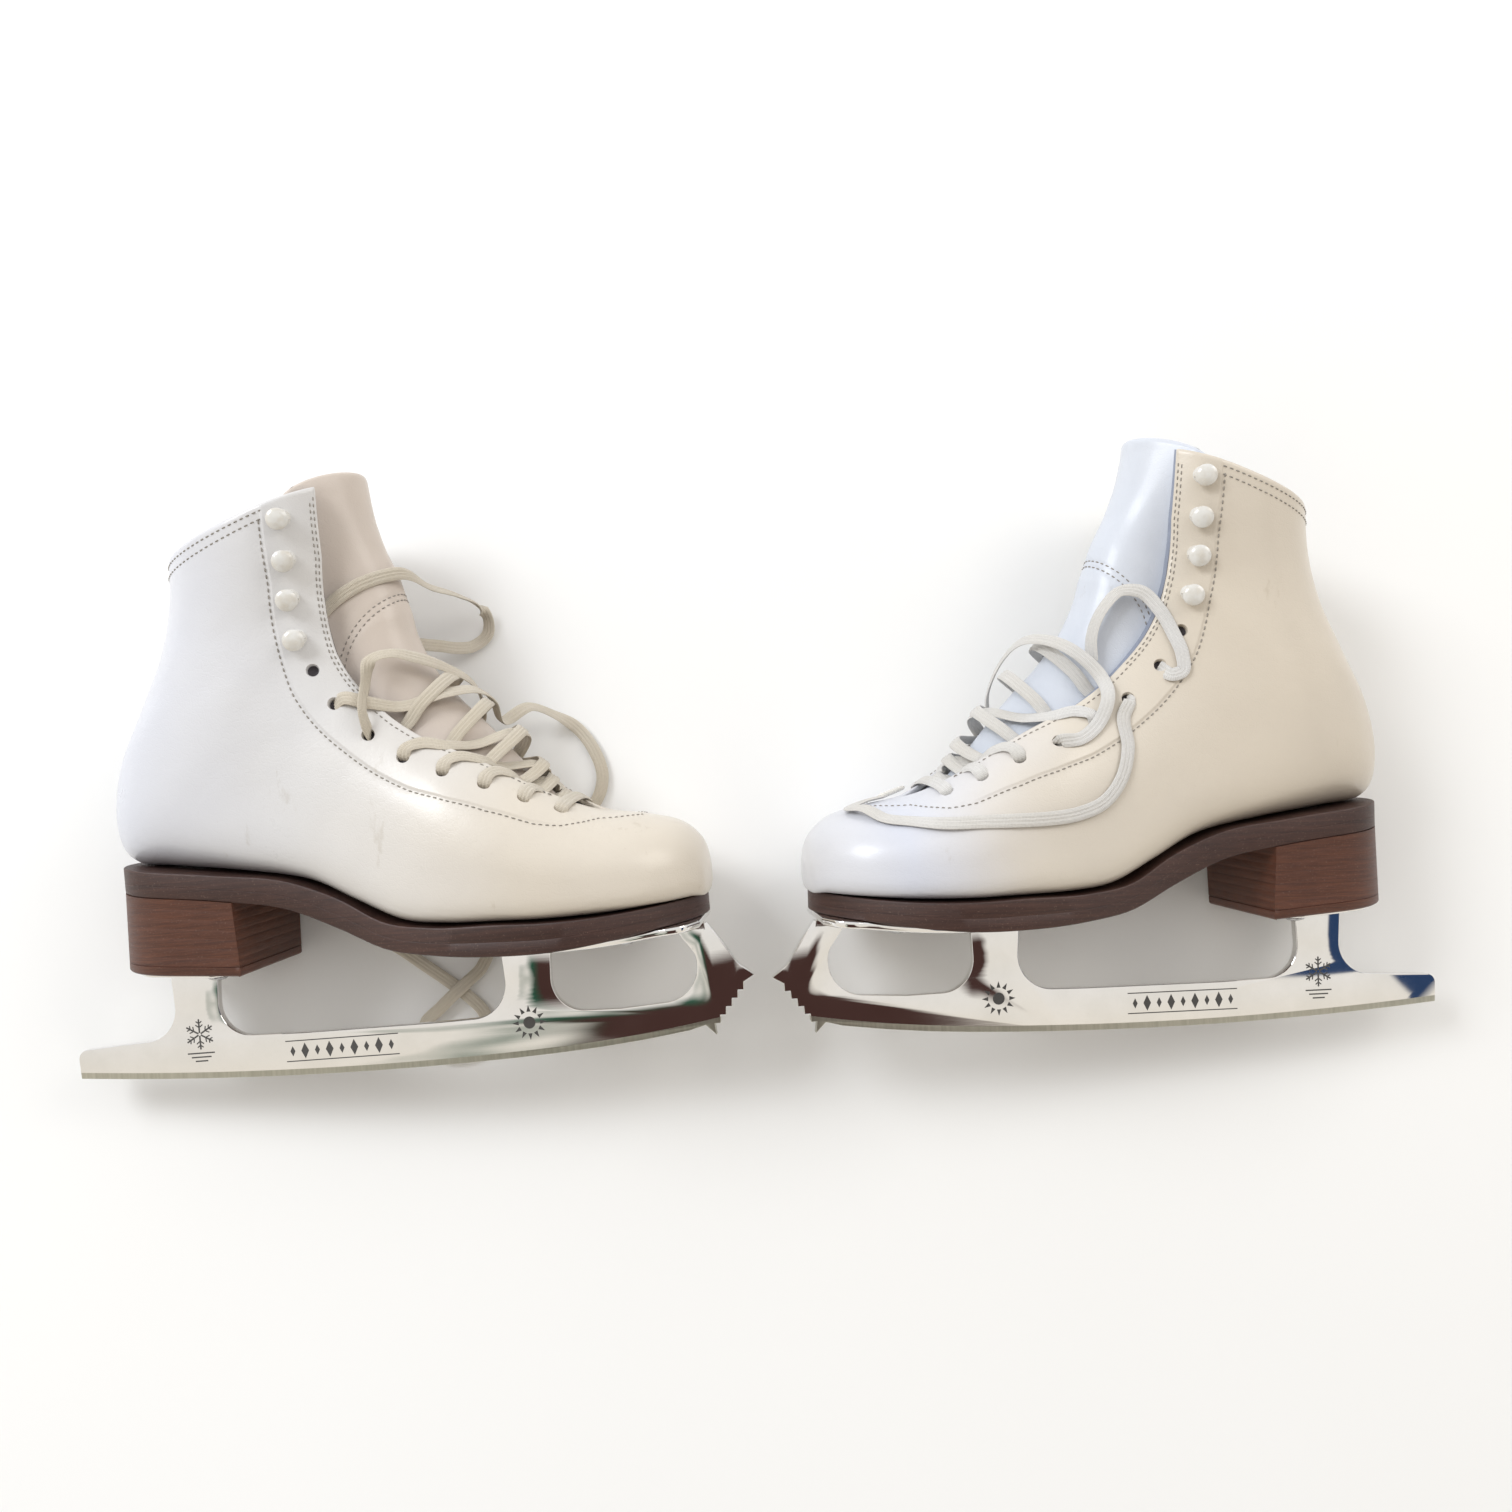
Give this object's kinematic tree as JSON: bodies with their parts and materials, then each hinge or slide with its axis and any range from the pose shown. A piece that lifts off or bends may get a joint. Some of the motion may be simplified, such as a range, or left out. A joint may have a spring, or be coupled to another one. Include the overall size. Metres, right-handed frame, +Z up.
{
  "type": "figure skates",
  "caption": "Pair of white leather lace-up ice figure skates with screwed-on chromed blades, lying toe to toe on their inner sides with the laces loose.",
  "frame": {"origin": "the middle of the lowest face of the pair's bounding box without the laces, on the surface that both skates lie on", "axes": "+Z up from the surface, through the uppermost (outer) sides of the boots; +Y towards the boots' cuffs, with the blades at -Y; +X along both soles, from the right foot's skate to the left foot's, whose toes meet at the middle"},
  "size_m": [0.5946, 0.255, 0.0973],
  "materials": {
    "white_leather": "smooth white coated leather",
    "tongue_leather": "matt padded leather",
    "lining_felt": "soft brushed lining",
    "sole_leather": "dark stained sole leather, waxed",
    "heel_leather": "stacked heel leather, polished edge",
    "blade_chrome": "mirror-plated steel",
    "screw_steel": "plain steel",
    "hook_enamel": "glossy white enamel",
    "lace_cotton": "flat woven cotton lace",
    "lace_tip": "clear-coated lace tip"
  },
  "bodies": {
    "right_skate": {"right_aglet_inner": "lace_tip", "right_aglet_outer": "lace_tip", "right_facing_inner": "white_leather", "right_facing_outer": "white_leather", "right_heel_block": "heel_leather", "right_heel_plate": "blade_chrome", "right_heel_screw_1": "screw_steel", "right_heel_screw_2": "screw_steel", "right_heel_screw_3": "screw_steel", "right_hook_inner_1": "hook_enamel", "right_hook_inner_2": "hook_enamel", "right_hook_inner_3": "hook_enamel", "right_hook_inner_4": "hook_enamel", "right_hook_outer_1": "hook_enamel", "right_hook_outer_2": "hook_enamel", "right_hook_outer_3": "hook_enamel", "right_hook_outer_4": "hook_enamel", "right_insole": "lining_felt", "right_lace_inner_end": "lace_cotton", "right_lace_loop": "lace_cotton", "right_lace_outer_end": "lace_cotton", "right_lacing": "lace_cotton", "right_lining": "lining_felt", "right_outsole": "sole_leather", "right_runner": "blade_chrome", "right_sole_plate": "blade_chrome", "right_sole_screw_1": "screw_steel", "right_sole_screw_2": "screw_steel", "right_sole_screw_3": "screw_steel", "right_upper": "white_leather"},
    "right_tongue": {"right_tongue": "tongue_leather"},
    "left_skate": {"left_aglet_side": "lace_tip", "left_facing_inner": "white_leather", "left_facing_outer": "white_leather", "left_heel_block": "heel_leather", "left_heel_plate": "blade_chrome", "left_heel_screw_1": "screw_steel", "left_heel_screw_2": "screw_steel", "left_heel_screw_3": "screw_steel", "left_hook_inner_1": "hook_enamel", "left_hook_inner_2": "hook_enamel", "left_hook_inner_3": "hook_enamel", "left_hook_inner_4": "hook_enamel", "left_hook_outer_1": "hook_enamel", "left_hook_outer_2": "hook_enamel", "left_hook_outer_3": "hook_enamel", "left_hook_outer_4": "hook_enamel", "left_insole": "lining_felt", "left_lace_ring": "lace_cotton", "left_lace_side_end": "lace_cotton", "left_lacing": "lace_cotton", "left_lining": "lining_felt", "left_outsole": "sole_leather", "left_runner": "blade_chrome", "left_sole_plate": "blade_chrome", "left_sole_screw_1": "screw_steel", "left_sole_screw_2": "screw_steel", "left_sole_screw_3": "screw_steel", "left_upper": "white_leather"},
    "left_tongue": {"left_tongue": "tongue_leather"}
  },
  "joints": [
    {"name": "right_tongue_hinge", "type": "hinge", "parent": "right_skate", "child": "right_tongue", "pos_m": [-0.05951, -0.02982, 0.05074], "axis": [-0.093, -0.0893, 0.9917], "range_deg": [0, 9], "stiffness_Nm_per_rad": 0.5},
    {"name": "left_skate_lift", "type": "slide", "parent": "right_skate", "child": "left_skate", "axis": [0, 0, 1], "range_m": [0, 0.25]},
    {"name": "left_tongue_hinge", "type": "hinge", "parent": "left_skate", "child": "left_tongue", "pos_m": [0.05951, -0.03162, 0.05074], "axis": [-0.093, 0.0893, -0.9917], "range_deg": [0, 9], "stiffness_Nm_per_rad": 0.5}
  ]
}
